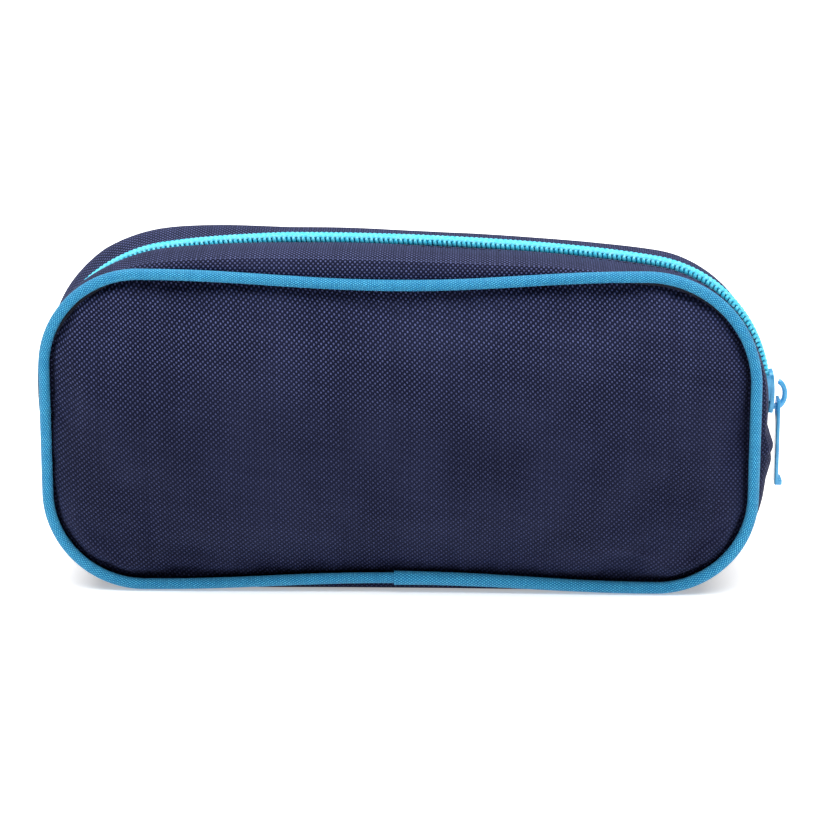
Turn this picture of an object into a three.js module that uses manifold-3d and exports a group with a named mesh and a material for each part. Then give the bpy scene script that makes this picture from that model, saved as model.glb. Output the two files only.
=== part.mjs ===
// Zipped pencil case of polyester canvas with piped edges.
// Millimetres. X runs along the case, Y from the front panel (-Y) to the back one, Z up.
// The case stands on the flat underside of its bottom gusset, at Z = 0.
// A coil zip runs up one end, over the top and down the other end, in the middle of the
// gusset. Above the zip's two ends the front half folds outward as one leaf.

import * as THREE from 'three';
import { mergeVertices } from 'three/addons/utils/BufferGeometryUtils.js';
import initManifold from 'manifold-3d';

const manifoldModule = await initManifold();
manifoldModule.setup();
const { Manifold } = manifoldModule;

// ---- driving dimensions ----
const CASE_LENGTH = 220;          // over the piping
const PIPING_RADIUS = 1.8;
const PIPING_WALL = 0.55;
const CORD_RADIUS = 1.0;
const PIPING_JOINT_X = -1.5;      // where the two ends of a piping strip meet
const PIPING_JOINT_GAP = 0.5;
const SEAM_Y = 28;                // piping centre line, from the middle plane
const SEAM_TOP = 100.1;           // piping centre line at the ends of the top edge
const SEAM_BOTTOM = 2.1;
const TOP_PINCH = 3.0;            // how far the long edges draw in at mid length
const BOTTOM_PINCH = 2.6;
const CORNER_RADIUS = 29.2;       // piping centre line
const CORNER_RADIUS_UPPER_RIGHT = 34;

const SPLIT_Z = 50;               // cross seams at the two ends of the zip
const SPLIT_GAP = 0.4;

const PANEL_CROWN = 8;            // fill of the soft front and back panels
const PANEL_GAP = 0.6;            // panel edge to piping
const MEDIAL_HALF = 72;           // middle line that the panel grids fan out from
const FABRIC = 0.7;
const FOAM = 2.0;
const LINING = 0.4;
const LAYER_GAP = 0.3;

const GUSSET_EDGE_Y = SEAM_Y - PIPING_RADIUS - 0.4;
const GUSSET_FLAT_Y = 16;         // the gusset is flat to here, then turns down to the seam
const STRIP_EDGE_Y = 4.7;         // folded edge of each gusset strip beside the zip

const ZIP_ARC_X = 72;             // centre of the round that the slider runs over
const ZIP_ARC_Z = 58;
const ZIP_ARC_RADIUS = 40.9;      // outer face of the gusset strips on that round
const ZIP_ARC_SPAN = THREE.MathUtils.degToRad(80);
const LEFT_ARC_X = -67;
const LEFT_ARC_RADIUS = 45.6;
const LEFT_ARC_SPAN = THREE.MathUtils.degToRad(80);
const RISE_RIGHT = 40;            // reach of the top curve's handles towards the middle
const RISE_LEFT = 25;
const END_BULGE_RIGHT = 116;      // widest point of the gusset below each cross seam
const END_BULGE_LEFT = 113.8;
const LOWER_ROUND_RIGHT = 31;
const LOWER_ROUND_LEFT = 33;

const SLUMP_LEFT = 2.4;           // how far the back panel's top edge has sunk, at the left
const SLUMP_RIGHT = 5.8;          // and at the right
const SLUMP_LEFT_X = 15;          // the depth changes between these two places
const SLUMP_RIGHT_X = 75;
const SLUMP_FROM_Y = 16;          // it sinks fully from here back to SLUMP_FULL_Y
const SLUMP_FULL_Y = 27;
const SLUMP_FROM_Z = 60;          // and from here up to SLUMP_FULL_Z
const SLUMP_FULL_Z = 95;

const TAPE_DEPTH = 1.0;           // outer face of the zip tape below the gusset strips
const TAPE_THICKNESS = 0.5;
const TAPE_WIDTH = 12;
const COIL_WIDTH = 2.0;
const COIL_HEIGHT = 2.2;
const COIL_PROUD = 1.4;
const ZIP_GAP = 0.95;             // half the gap between the coils, which clears the post

const SLIDER_LENGTH = 13.2;
const SLIDER_HALF_WIDTH = 4.3;
const SLIDER_PLATE = 1.3;
const SLIDER_CLEARANCE = 0.5;
const SLIDER_LIP = 0.9;
const POST_HALF_WIDTH = 0.6;
const POST_LENGTH = 3.0;
const HOOK_BAR = 1.3;
const HOOK_HALF_WIDTH = 1.4;
const HOOK_REACH = 4.2;
const HOOK_BOTTOM_Z = 52.3;
const HOOK_TOP_Z = 61.7;
const HOOK_MOUTH = 1.3;

const PULLER_LENGTH = 27.6;
const PULLER_WIDTH = 6.4;
const PULLER_THICKNESS = 1.2;
const PULLER_PIVOT = new THREE.Vector3(117.6, 0, 54.9);
const PULLER_RIM = 1.5;           // bar across the top of the eye, on the pivot
const PULLER_EYE_LENGTH = 3.6;
const PULLER_EYE_WIDTH = 3.6;
const PULLER_LIP = 2.4;

const BINDING_THICKNESS = 1.0;
const BINDING_WIDTH = 6;
const BINDING_INSET = 5.6;

const UPPER_STEPS = 36;
const LOWER_STEPS = 28;
const PANEL_STEPS = 18;
const PANEL_ROWS = [0, 0.5, 0.82, 1];
const BINDING_STEPS = 18;
const PIPING_STEPS = 28;          // over the top, and as many again under the case
const SLEEVE_SIDES = 7;
const CORD_SIDES = 5;

// ---- colours ----
const NAVY = { color: 0x262f52, roughness: 0.85, metalness: 0 };
const TAPE_NAVY = { color: 0x1c2340, roughness: 0.9, metalness: 0 };
const LINING_GREY = { color: 0x2b2e3a, roughness: 0.8, metalness: 0 };
const FOAM_WHITE = { color: 0xd9d9d4, roughness: 0.95, metalness: 0 };
const PIPING_BLUE = { color: 0x4fa9dc, roughness: 0.7, metalness: 0 };
const CORD_WHITE = { color: 0xe4e2dc, roughness: 0.9, metalness: 0 };
const COIL_CYAN = { color: 0x4fd0f2, roughness: 0.35, metalness: 0 };
const SLIDER_BLUE = { color: 0x7cc4ea, roughness: 0.35, metalness: 0.3 };

// ---- closed solids from grids of points ----

/** Makes a closed geometry from points and triangles, turned so that its faces look out. */
function closedGeometry(points, triangles) {
  let volume = 0;
  for (const [a, b, c] of triangles) {
    volume += points[a].dot(new THREE.Vector3().crossVectors(points[b], points[c]));
  }
  const index = triangles.flatMap(([a, b, c]) => (volume > 0 ? [a, b, c] : [a, c, b]));
  const geometry = new THREE.BufferGeometry().setFromPoints(points);
  geometry.setIndex(index);
  geometry.computeVertexNormals();
  return geometry;
}

/** Closes two matching grids, an outer and an inner skin, into one sheet with edge walls. */
function sheetGeometry(outer, inner, { loopU = false, loopV = false, foldedAtV0 = false } = {}) {
  const nu = outer.length;
  const nv = outer[0].length;
  const points = [...outer.flat(), ...inner.flat()];
  const at = (skin, i, j) => skin * nu * nv + (i % nu) * nv + (j % nv);
  const triangles = [];
  const quad = (a, b, c, d) => triangles.push([a, b, c], [a, c, d]);
  const lastU = loopU ? nu : nu - 1;
  const lastV = loopV ? nv : nv - 1;
  for (let i = 0; i < lastU; i++) {
    for (let j = 0; j < lastV; j++) {
      quad(at(0, i, j), at(0, i + 1, j), at(0, i + 1, j + 1), at(0, i, j + 1));
      quad(at(1, i, j), at(1, i, j + 1), at(1, i + 1, j + 1), at(1, i + 1, j));
    }
    if (!loopV) {
      const v = nv - 1;
      if (!foldedAtV0) quad(at(0, i + 1, 0), at(0, i, 0), at(1, i, 0), at(1, i + 1, 0));
      quad(at(0, i, v), at(0, i + 1, v), at(1, i + 1, v), at(1, i, v));
    }
  }
  if (!loopU) {
    const u = nu - 1;
    for (let j = 0; j < lastV; j++) {
      quad(at(0, 0, j), at(0, 0, j + 1), at(1, 0, j + 1), at(1, 0, j));
      quad(at(0, u, j + 1), at(0, u, j), at(1, u, j), at(1, u, j + 1));
    }
  }
  return closedGeometry(points, triangles);
}

/** Joins a row of matching rings into a rod. A looped rod has no end caps. */
function rodGeometry(rings, looped = false) {
  const count = rings.length;
  const sides = rings[0].length;
  const triangles = [];
  const last = looped ? count : count - 1;
  for (let i = 0; i < last; i++) {
    for (let j = 0; j < sides; j++) {
      const a = i * sides + j;
      const b = ((i + 1) % count) * sides + j;
      const c = ((i + 1) % count) * sides + ((j + 1) % sides);
      const d = i * sides + ((j + 1) % sides);
      triangles.push([a, b, c], [a, c, d]);
    }
  }
  if (!looped) {
    const end = (count - 1) * sides;
    for (let j = 1; j < sides - 1; j++) {
      triangles.push([0, j, j + 1], [end, end + j + 1, end + j]);
    }
  }
  return closedGeometry(rings.flat(), triangles);
}

const range = (steps) => Array.from({ length: steps + 1 }, (_, i) => i / steps);

// ---- outlines, each a path in the X-Z plane, run anticlockwise seen from the front ----

/** The seam line over the top, from the right cross seam to the left one. */
function upperSeam(inset = 0, gap = SPLIT_GAP) {
  const x = CASE_LENGTH / 2 - PIPING_RADIUS - inset;
  const half = CASE_LENGTH / 2 - PIPING_RADIUS;
  const right = { x: half - CORNER_RADIUS_UPPER_RIGHT, r: CORNER_RADIUS_UPPER_RIGHT };
  const left = { x: half - CORNER_RADIUS, r: CORNER_RADIUS };
  const top = SEAM_TOP - inset;
  const low = top - TOP_PINCH;
  const path = new THREE.Path();
  path.moveTo(x, SPLIT_Z + gap / 2);
  path.lineTo(x, SEAM_TOP - right.r);
  path.absarc(right.x, SEAM_TOP - right.r, right.r - inset, 0, Math.PI / 2);
  path.bezierCurveTo(0.6 * right.x, top, 0.4 * right.x, low, 0, low);
  path.bezierCurveTo(-0.4 * left.x, low, -0.6 * left.x, top, -left.x, top);
  path.absarc(-left.x, SEAM_TOP - left.r, left.r - inset, Math.PI / 2, Math.PI);
  path.lineTo(-x, SPLIT_Z + gap / 2);
  return path;
}

/** The seam line under the case, from the left cross seam to the right one. */
function lowerSeam(inset = 0, gap = SPLIT_GAP) {
  const half = CASE_LENGTH / 2 - PIPING_RADIUS;
  const cornerX = half - CORNER_RADIUS;
  const cornerZ = SEAM_BOTTOM + CORNER_RADIUS;
  const radius = CORNER_RADIUS - inset;
  const bottom = SEAM_BOTTOM + inset;
  const high = bottom + BOTTOM_PINCH;
  const path = new THREE.Path();
  path.moveTo(-half + inset, SPLIT_Z - gap / 2);
  path.lineTo(-half + inset, cornerZ);
  path.absarc(-cornerX, cornerZ, radius, Math.PI, 1.5 * Math.PI);
  path.bezierCurveTo(-0.6 * cornerX, bottom, -0.4 * cornerX, high, 0, high);
  path.bezierCurveTo(0.4 * cornerX, high, 0.6 * cornerX, bottom, cornerX, bottom);
  path.absarc(cornerX, cornerZ, radius, 1.5 * Math.PI, 2 * Math.PI);
  path.lineTo(half - inset, SPLIT_Z - gap / 2);
  return path;
}

/** The crest of the gusset along the zip, lowered by depth, from right to left. */
function upperRidge(depth = 0) {
  const right = ZIP_ARC_RADIUS - depth;
  const left = LEFT_ARC_RADIUS - depth;
  const endX = ZIP_ARC_X + right * Math.cos(ZIP_ARC_SPAN);
  const endZ = ZIP_ARC_Z + right * Math.sin(ZIP_ARC_SPAN);
  const startX = LEFT_ARC_X - left * Math.cos(LEFT_ARC_SPAN);
  const startZ = ZIP_ARC_Z + left * Math.sin(LEFT_ARC_SPAN);
  const path = new THREE.Path();
  path.moveTo(ZIP_ARC_X + right, SPLIT_Z + SPLIT_GAP / 2);
  path.lineTo(ZIP_ARC_X + right, ZIP_ARC_Z);
  path.absarc(ZIP_ARC_X, ZIP_ARC_Z, right, 0, ZIP_ARC_SPAN);
  path.bezierCurveTo(
    endX - RISE_RIGHT, endZ + RISE_RIGHT / Math.tan(ZIP_ARC_SPAN),
    startX + RISE_LEFT, startZ + RISE_LEFT / Math.tan(LEFT_ARC_SPAN),
    startX, startZ,
  );
  path.absarc(LEFT_ARC_X, ZIP_ARC_Z, left, Math.PI - LEFT_ARC_SPAN, Math.PI);
  path.lineTo(LEFT_ARC_X - left, SPLIT_Z + SPLIT_GAP / 2);
  return path;
}

/** The outer line of the bottom gusset, lowered by depth, from left to right. */
function lowerRidge(depth = 0) {
  const notchRight = ZIP_ARC_X + ZIP_ARC_RADIUS + 0.4 - depth;
  const notchLeft = LEFT_ARC_X - LEFT_ARC_RADIUS - 0.2 + depth;
  const right = END_BULGE_RIGHT - depth;
  const left = -END_BULGE_LEFT + depth;
  const leftRound = { x: -END_BULGE_LEFT + LOWER_ROUND_LEFT, r: LOWER_ROUND_LEFT - depth };
  const rightRound = { x: END_BULGE_RIGHT - LOWER_ROUND_RIGHT, r: LOWER_ROUND_RIGHT - depth };
  const path = new THREE.Path();
  path.moveTo(notchLeft, SPLIT_Z - SPLIT_GAP / 2);
  path.bezierCurveTo(left, SPLIT_Z - 4, left, SPLIT_Z - 8, left, LOWER_ROUND_LEFT);
  path.absarc(leftRound.x, LOWER_ROUND_LEFT, leftRound.r, Math.PI, 1.5 * Math.PI);
  path.lineTo(rightRound.x, depth);
  path.absarc(rightRound.x, LOWER_ROUND_RIGHT, rightRound.r, 1.5 * Math.PI, 2 * Math.PI);
  path.bezierCurveTo(right, SPLIT_Z - 8, right, SPLIT_Z - 4, notchRight, SPLIT_Z - SPLIT_GAP / 2);
  return path;
}

/** Points of a path at arc-length fractions, with the outward normal at each. */
function sampled(path, fractions) {
  return fractions.map((t) => {
    const point = path.getPointAt(Math.min(Math.max(t, 0), 1));
    const tangent = path.getTangentAt(Math.min(Math.max(t, 0), 1));
    return { x: point.x, z: point.y, nx: tangent.y, nz: -tangent.x };
  });
}

// ---- fabric pieces ----

/**
 * One skin of a gusset: a grid over the length of the band and across it.
 * Where the crest stands outside the seam line, the edge of a deeper skin moves in along Y.
 * Where the zip cuts a corner inside the seam line, it moves in towards the case instead.
 */
function gussetSkin(seam, ridge, depth, steps, turns, side) {
  const low = sampled(seam, range(steps));
  const crest = sampled(ridge(0), range(steps));
  const high = sampled(ridge(depth), range(steps));
  return low.map((s, i) => {
    const outward = (crest[i].x - s.x) * s.nx + (crest[i].z - s.z) * s.nz;
    const sideways = THREE.MathUtils.smoothstep(outward, -1, 3);
    const edge = GUSSET_EDGE_Y - depth * sideways;
    const baseX = s.x - s.nx * depth * (1 - sideways);
    const baseZ = s.z - s.nz * depth * (1 - sideways);
    return turns.map(({ sign, turn, y }) => {
      const across = y ?? sign * (GUSSET_FLAT_Y + turn * (edge - GUSSET_FLAT_Y));
      const rise = turn === undefined ? 1 : Math.cbrt(1 - turn ** 3);
      return new THREE.Vector3(
        baseX + (high[i].x - baseX) * rise, side * across, baseZ + (high[i].z - baseZ) * rise);
    });
  });
}

/** A strip of the zip gusset on one side of the zip (side -1 is the front). */
function stripGeometry(side, depth, thickness, innerY, turns) {
  const rows = [...turns.map((turn) => ({ sign: 1, turn })), { y: innerY }];
  const skin = (d) => gussetSkin(upperSeam(), upperRidge, d, UPPER_STEPS, rows, side);
  return sheetGeometry(skin(depth), skin(depth + thickness));
}

/** The band under the case, from the front seam to the back one. */
function bottomGeometry(depth, thickness, turns) {
  const front = turns.map((turn) => ({ sign: -1, turn }));
  const back = turns.map((turn) => ({ sign: 1, turn })).reverse();
  const rows = [...front, { y: 0 }, ...back];
  const skin = (d) => gussetSkin(lowerSeam(), lowerRidge, d, LOWER_STEPS, rows, 1);
  return sheetGeometry(skin(depth), skin(depth + thickness));
}

/** One skin of a panel half: lines that fan from the middle line out to the seam. */
function panelSkin(path, fromX, toX, steps, rows, side, depth) {
  return sampled(path, range(steps)).map((edge, i) => {
    const midX = fromX + (toX - fromX) * (i / steps);
    return rows.map((row) => {
      const crown = PANEL_CROWN * (1 - row ** 2.2);
      return new THREE.Vector3(
        midX + (edge.x - midX) * row,
        side * (SEAM_Y + crown - depth),
        SPLIT_Z + (edge.z - SPLIT_Z) * row,
      );
    });
  });
}

const panelRowsTo = (reach) => PANEL_ROWS.map((row) => row * reach);

/** Half of the front panel, above or below the fold line. */
function frontPanelGeometry(upper, depth, thickness, reach) {
  const inset = PIPING_RADIUS + PANEL_GAP;
  const path = upper ? upperSeam(inset) : lowerSeam(inset);
  const end = upper ? MEDIAL_HALF : -MEDIAL_HALF;
  const shift = (upper ? 1 : -1) * SPLIT_GAP / 2;
  const skin = (d) => panelSkin(path, end, -end, PANEL_STEPS, panelRowsTo(reach), -1, d)
    .map((line) => line.map((p) => p.setZ(upper
      ? Math.max(p.z, SPLIT_Z + shift)
      : Math.min(p.z, SPLIT_Z + shift))));
  return sheetGeometry(skin(depth), skin(depth + thickness));
}

/** The whole back panel: both halves share the middle line. */
function backPanelGeometry(depth, thickness, reach) {
  const inset = PIPING_RADIUS + PANEL_GAP;
  const rows = panelRowsTo(reach);
  const skin = (d) => [
    ...panelSkin(upperSeam(inset, 0), MEDIAL_HALF, -MEDIAL_HALF, PANEL_STEPS, rows, 1, d)
      .slice(0, -1),
    ...panelSkin(lowerSeam(inset, 0), -MEDIAL_HALF, MEDIAL_HALF, PANEL_STEPS, rows, 1, d)
      .slice(0, -1),
  ];
  return sheetGeometry(skin(depth), skin(depth + thickness), { loopU: true, foldedAtV0: true });
}

// ---- piping ----

/** A ring of points round a path sample, at a given radius. */
function ring(sample, y, radius, sides) {
  return range(sides).slice(0, -1).map((turn) => {
    const out = radius * Math.cos(2 * Math.PI * turn);
    return new THREE.Vector3(
      sample.x + sample.nx * out,
      y + radius * Math.sin(2 * Math.PI * turn),
      sample.z + sample.nz * out,
    );
  });
}

/** The woven sleeve of the piping, a tube that is open at both ends. */
function sleeveGeometry(samples, y) {
  const tube = (radius) => samples.map((sample) => ring(sample, y, radius, SLEEVE_SIDES));
  return sheetGeometry(tube(PIPING_RADIUS), tube(PIPING_RADIUS - PIPING_WALL), { loopV: true });
}

const cordGeometry = (samples, y) =>
  rodGeometry(samples.map((sample) => ring(sample, y, CORD_RADIUS, CORD_SIDES)));

/** The arc-length fraction at which the lower seam passes x, found by halving. */
function fractionAtX(path, x) {
  let low = 0;
  let high = 1;
  for (let i = 0; i < 30; i++) {
    const middle = (low + high) / 2;
    if (path.getPointAt(middle).x < x) low = middle;
    else high = middle;
  }
  return low;
}

/** The lower seam's samples from its left end to the piping joint, and from there on. */
function lowerPipingRuns(gap) {
  const path = lowerSeam(0, gap);
  const leftEnd = fractionAtX(path, PIPING_JOINT_X - PIPING_JOINT_GAP / 2);
  const rightStart = fractionAtX(path, PIPING_JOINT_X + PIPING_JOINT_GAP / 2);
  const turns = range(PIPING_STEPS / 2);
  return {
    left: sampled(path, turns.map((t) => t * leftEnd)),
    right: sampled(path, turns.map((t) => rightStart + t * (1 - rightStart))),
  };
}

/** The back piping, one run right round the panel with its ends meeting at the bottom. */
function backPipingRun() {
  const { left, right } = lowerPipingRuns(0);
  const upper = sampled(upperSeam(0, 0), range(PIPING_STEPS));
  return [...right.slice(0, -1), ...upper, ...left.slice(1)];
}

/** A tape bound over the seam allowance, standing in from the seam line inside the case. */
function bindingGeometry(paths, side, looped) {
  const y = side * (SEAM_Y - FABRIC - FOAM - LINING - 3 * LAYER_GAP - 0.2);
  const inY = y - side * BINDING_THICKNESS;
  const rings = paths.flatMap(({ outer, inner }) => outer.map((a, i) => {
    const b = inner[i];
    return [
      new THREE.Vector3(a.x, y, a.z), new THREE.Vector3(b.x, y, b.z),
      new THREE.Vector3(b.x, inY, b.z), new THREE.Vector3(a.x, inY, a.z),
    ];
  }));
  return rodGeometry(rings, looped);
}

const bindingPaths = (outline, steps, gap, dropLast) => {
  const cut = (list) => (dropLast ? list.slice(0, -1) : list);
  return {
    outer: cut(sampled(outline(BINDING_INSET, gap), range(steps))),
    inner: cut(sampled(outline(BINDING_INSET + BINDING_WIDTH, gap), range(steps))),
  };
};

/** The folded seam allowance where the zip gusset is sewn to the bottom gusset. */
function endBindingGeometry(outerX) {
  const width = 36;
  const height = 7;
  const thickness = 1.4;
  const box = new THREE.BoxGeometry(thickness, width, height);
  box.translate(outerX - Math.sign(outerX) * thickness / 2, 0, SPLIT_Z - 0.5 - height / 2);
  return box;
}

// ---- zip ----

/** A strip that follows the zip: a rectangle between two depths and two widths. */
function zipStripGeometry(side, topDepth, bottomDepth, width) {
  const top = sampled(upperRidge(topDepth), range(UPPER_STEPS));
  const bottom = sampled(upperRidge(bottomDepth), range(UPPER_STEPS));
  const near = side * ZIP_GAP;
  const far = side * (ZIP_GAP + width);
  return rodGeometry(top.map((a, i) => {
    const b = bottom[i];
    return [
      new THREE.Vector3(a.x, near, a.z), new THREE.Vector3(a.x, far, a.z),
      new THREE.Vector3(b.x, far, b.z), new THREE.Vector3(b.x, near, b.z),
    ];
  }));
}

const tapeGeometry = (side) => zipStripGeometry(
  side, TAPE_DEPTH, TAPE_DEPTH + TAPE_THICKNESS, TAPE_WIDTH);

const coilGeometry = (side) => zipStripGeometry(
  side, -COIL_PROUD, COIL_HEIGHT - COIL_PROUD, COIL_WIDTH);

// ---- slider and puller ----

/** A block curved to the zip's round: radii, widths and angles in radians. */
function arcBlock(innerRadius, outerRadius, fromY, toY, fromAngle, toAngle, steps) {
  const rings = range(steps).map((t) => {
    const angle = fromAngle + (toAngle - fromAngle) * t;
    const at = (radius, y) => new THREE.Vector3(
      radius * Math.cos(angle), y, radius * Math.sin(angle));
    return [at(innerRadius, fromY), at(outerRadius, fromY),
      at(outerRadius, toY), at(innerRadius, toY)];
  });
  return solidOf(rodGeometry(rings));
}

function solidOf(geometry) {
  const mesh = new manifoldModule.Mesh({
    numProp: 3,
    vertProperties: new Float32Array(geometry.attributes.position.array),
    triVerts: new Uint32Array(geometry.index.array),
  });
  return new Manifold(mesh);
}

function geometryOf(solid) {
  const mesh = solid.getMesh();
  const geometry = new THREE.BufferGeometry();
  geometry.setAttribute('position', new THREE.BufferAttribute(mesh.vertProperties, 3));
  geometry.setIndex(new THREE.BufferAttribute(mesh.triVerts, 1));
  geometry.computeVertexNormals();
  return geometry;
}

/** A box between two opposite corners. */
function boxBetween(low, high) {
  const size = high.map((value, i) => value - low[i]);
  const box = new THREE.BoxGeometry(...size);
  box.translate(...low.map((value, i) => value + size[i] / 2));
  box.deleteAttribute('normal');
  box.deleteAttribute('uv');
  return solidOf(mergeVertices(box));
}

/** Slider: two curved plates joined by a post, with lips at the sides and a hook on top. */
function sliderGeometry() {
  const crest = ZIP_ARC_RADIUS + COIL_PROUD;
  const plateInner = crest + SLIDER_CLEARANCE;
  const plateOuter = plateInner + SLIDER_PLATE;
  const tapeOuter = ZIP_ARC_RADIUS - TAPE_DEPTH;
  const backOuter = tapeOuter - TAPE_THICKNESS - SLIDER_CLEARANCE;
  const backInner = backOuter - SLIDER_PLATE;
  const half = SLIDER_LENGTH / 2 / plateOuter;
  const postEnd = -half + POST_LENGTH / plateOuter;
  const lipStart = -2.4 / plateOuter;
  const width = SLIDER_HALF_WIDTH;
  const overlap = 0.05;
  const lips = [-1, 1].map((side) => {
    return arcBlock(tapeOuter + SLIDER_CLEARANCE, plateInner + overlap,
      side * (width - SLIDER_LIP), side * width, lipStart, half, 4);
  });
  const hookX = plateOuter + HOOK_REACH;
  const low = HOOK_BOTTOM_Z - ZIP_ARC_Z;
  const high = HOOK_TOP_Z - ZIP_ARC_Z;
  const barX = hookX - HOOK_BAR;
  const hook = [
    boxBetween([plateInner + 0.3, -HOOK_HALF_WIDTH, low],
      [barX + overlap, HOOK_HALF_WIDTH, low + HOOK_BAR]),
    boxBetween([barX, -HOOK_HALF_WIDTH, low], [hookX, HOOK_HALF_WIDTH, high]),
    boxBetween([plateOuter + HOOK_MOUTH, -HOOK_HALF_WIDTH, high - HOOK_BAR],
      [barX + overlap, HOOK_HALF_WIDTH, high]),
  ];
  return geometryOf(Manifold.union([
    arcBlock(plateInner, plateOuter, -width, width, -half, half, 6),
    arcBlock(backInner, backOuter, -width, width, -half, half, 6),
    arcBlock(backOuter - overlap, plateInner + overlap, -POST_HALF_WIDTH, POST_HALF_WIDTH,
      -half, postEnd, 1),
    ...lips,
    ...hook,
  ]));
}

/** Puller, hanging from its pivot: a flat strip with an eye at the top and a lip at the end. */
function pullerGeometry() {
  const x = PULLER_THICKNESS / 2;
  const y = PULLER_WIDTH / 2;
  const top = PULLER_RIM / 2;
  const bottom = top - PULLER_LENGTH;
  const strip = boxBetween([-x, -y, bottom], [x, y, top]);
  const eye = boxBetween([-2 * x, -PULLER_EYE_WIDTH / 2, -top - PULLER_EYE_LENGTH],
    [2 * x, PULLER_EYE_WIDTH / 2, -top]);
  const lip = boxBetween([-x, -y, bottom], [PULLER_LIP - x, y, bottom + PULLER_LIP * 0.8]);
  return geometryOf(strip.subtract(eye).add(lip));
}

// ---- assembly ----

/** Lowers the top of the back, which has sunk more at its right end than at its left. */
function slump(geometry) {
  const { smoothstep } = THREE.MathUtils;
  const position = geometry.attributes.position;
  for (let i = 0; i < position.count; i += 1) {
    const x = position.getX(i);
    const z = position.getZ(i);
    const depth = SLUMP_LEFT + (SLUMP_RIGHT - SLUMP_LEFT) * smoothstep(x, SLUMP_LEFT_X, SLUMP_RIGHT_X);
    const share = smoothstep(position.getY(i), SLUMP_FROM_Y, SLUMP_FULL_Y)
      * smoothstep(z, SLUMP_FROM_Z, SLUMP_FULL_Z);
    position.setZ(i, z - depth * share);
  }
  return geometry;
}

function addPiece(parent, name, geometry, look) {
  const shaped = parent === caseBody ? slump(geometry) : geometry;
  const mesh = new THREE.Mesh(shaped, new THREE.MeshStandardMaterial(look));
  mesh.name = name;
  parent.add(mesh);
  return mesh;
}

const PANEL_LAYERS = [
  { suffix: 'fabric', depth: 0, thickness: FABRIC, reach: 1, look: NAVY },
  { suffix: 'foam', depth: FABRIC + LAYER_GAP, thickness: FOAM, reach: 0.95, look: FOAM_WHITE },
  {
    suffix: 'lining', depth: FABRIC + FOAM + 2 * LAYER_GAP, thickness: LINING, reach: 0.95,
    look: LINING_GREY,
  },
];
const OUTER_TURNS = [1, 0.94, 0.8, 0.5, 0];
const LINING_TURNS = [1, 0.85, 0.5, 0];
const STRIP_LINING_DEPTH = TAPE_DEPTH + TAPE_THICKNESS + LAYER_GAP;
const STRIP_LINING_EDGE_Y = 6;

function addZipSide(parent, side, word) {
  addPiece(parent, `zip_gusset_${word}_fabric`,
    stripGeometry(side, 0, FABRIC, STRIP_EDGE_Y, OUTER_TURNS), NAVY);
  addPiece(parent, `zip_gusset_${word}_lining`,
    stripGeometry(side, STRIP_LINING_DEPTH, LINING, STRIP_LINING_EDGE_Y, LINING_TURNS),
    LINING_GREY);
  addPiece(parent, `zip_tape_${word}`, tapeGeometry(side), TAPE_NAVY);
  addPiece(parent, `zip_coil_${word}`, coilGeometry(side), COIL_CYAN);
}

function addPiping(parent, label, samples, side) {
  addPiece(parent, `${label}_sleeve`, sleeveGeometry(samples, side * SEAM_Y), PIPING_BLUE);
  addPiece(parent, `${label}_cord`, cordGeometry(samples, side * SEAM_Y), CORD_WHITE);
}

const caseBody = new THREE.Group();
const frontLeaf = new THREE.Group();
const slider = new THREE.Group();
const puller = new THREE.Group();
caseBody.name = 'case';
frontLeaf.name = 'front_leaf';
slider.name = 'slider';
puller.name = 'puller_group';

for (const { suffix, depth, thickness, reach, look } of PANEL_LAYERS) {
  addPiece(caseBody, `back_panel_${suffix}`, backPanelGeometry(depth, thickness, reach), look);
  addPiece(caseBody, `front_panel_lower_${suffix}`,
    frontPanelGeometry(false, depth, thickness, reach), look);
  addPiece(frontLeaf, `front_panel_upper_${suffix}`,
    frontPanelGeometry(true, depth, thickness, reach), look);
}

addPiece(caseBody, 'bottom_gusset_fabric',
  bottomGeometry(0, FABRIC, OUTER_TURNS), NAVY);
addPiece(caseBody, 'bottom_gusset_lining',
  bottomGeometry(FABRIC + LAYER_GAP, LINING, LINING_TURNS), LINING_GREY);
addZipSide(caseBody, 1, 'back');
addZipSide(frontLeaf, -1, 'front');

const lowerRuns = lowerPipingRuns(SPLIT_GAP);
addPiping(caseBody, 'back_piping', backPipingRun(), 1);
addPiping(caseBody, 'front_piping_lower_left', lowerRuns.left, -1);
addPiping(caseBody, 'front_piping_lower_right', lowerRuns.right, -1);
addPiping(frontLeaf, 'front_piping_upper', sampled(upperSeam(), range(PIPING_STEPS)), -1);

addPiece(caseBody, 'back_seam_binding', bindingGeometry([
  bindingPaths(upperSeam, BINDING_STEPS, 0, true),
  bindingPaths(lowerSeam, BINDING_STEPS, 0, true),
], 1, true), LINING_GREY);
addPiece(caseBody, 'front_seam_binding_lower', bindingGeometry([
  bindingPaths(lowerSeam, BINDING_STEPS, SPLIT_GAP, false)], -1, false), LINING_GREY);
addPiece(frontLeaf, 'front_seam_binding_upper', bindingGeometry([
  bindingPaths(upperSeam, BINDING_STEPS, SPLIT_GAP, false)], -1, false), LINING_GREY);
addPiece(caseBody, 'end_seam_binding_right', endBindingGeometry(111.2), LINING_GREY);
addPiece(caseBody, 'end_seam_binding_left', endBindingGeometry(-110.6), LINING_GREY);

slider.position.set(ZIP_ARC_X, 0, ZIP_ARC_Z);
addPiece(slider, 'slider_body', sliderGeometry(), SLIDER_BLUE);
puller.position.copy(PULLER_PIVOT).sub(slider.position);
addPiece(puller, 'puller', pullerGeometry(), SLIDER_BLUE);
slider.add(puller);

const group = new THREE.Group();
group.name = 'pencil_case';
group.add(caseBody, frontLeaf, slider);

export default group;
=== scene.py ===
"""Pencil case of navy canvas with piped edges and a coil zip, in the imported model's frame.

Shapes are worked out in millimetres and scaled to metres as each mesh is made.
T runs round the case, seen from the front: 0 at the right end, over the top to 1 at the
left end, and on under the case to 2.
"""

import math

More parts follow.
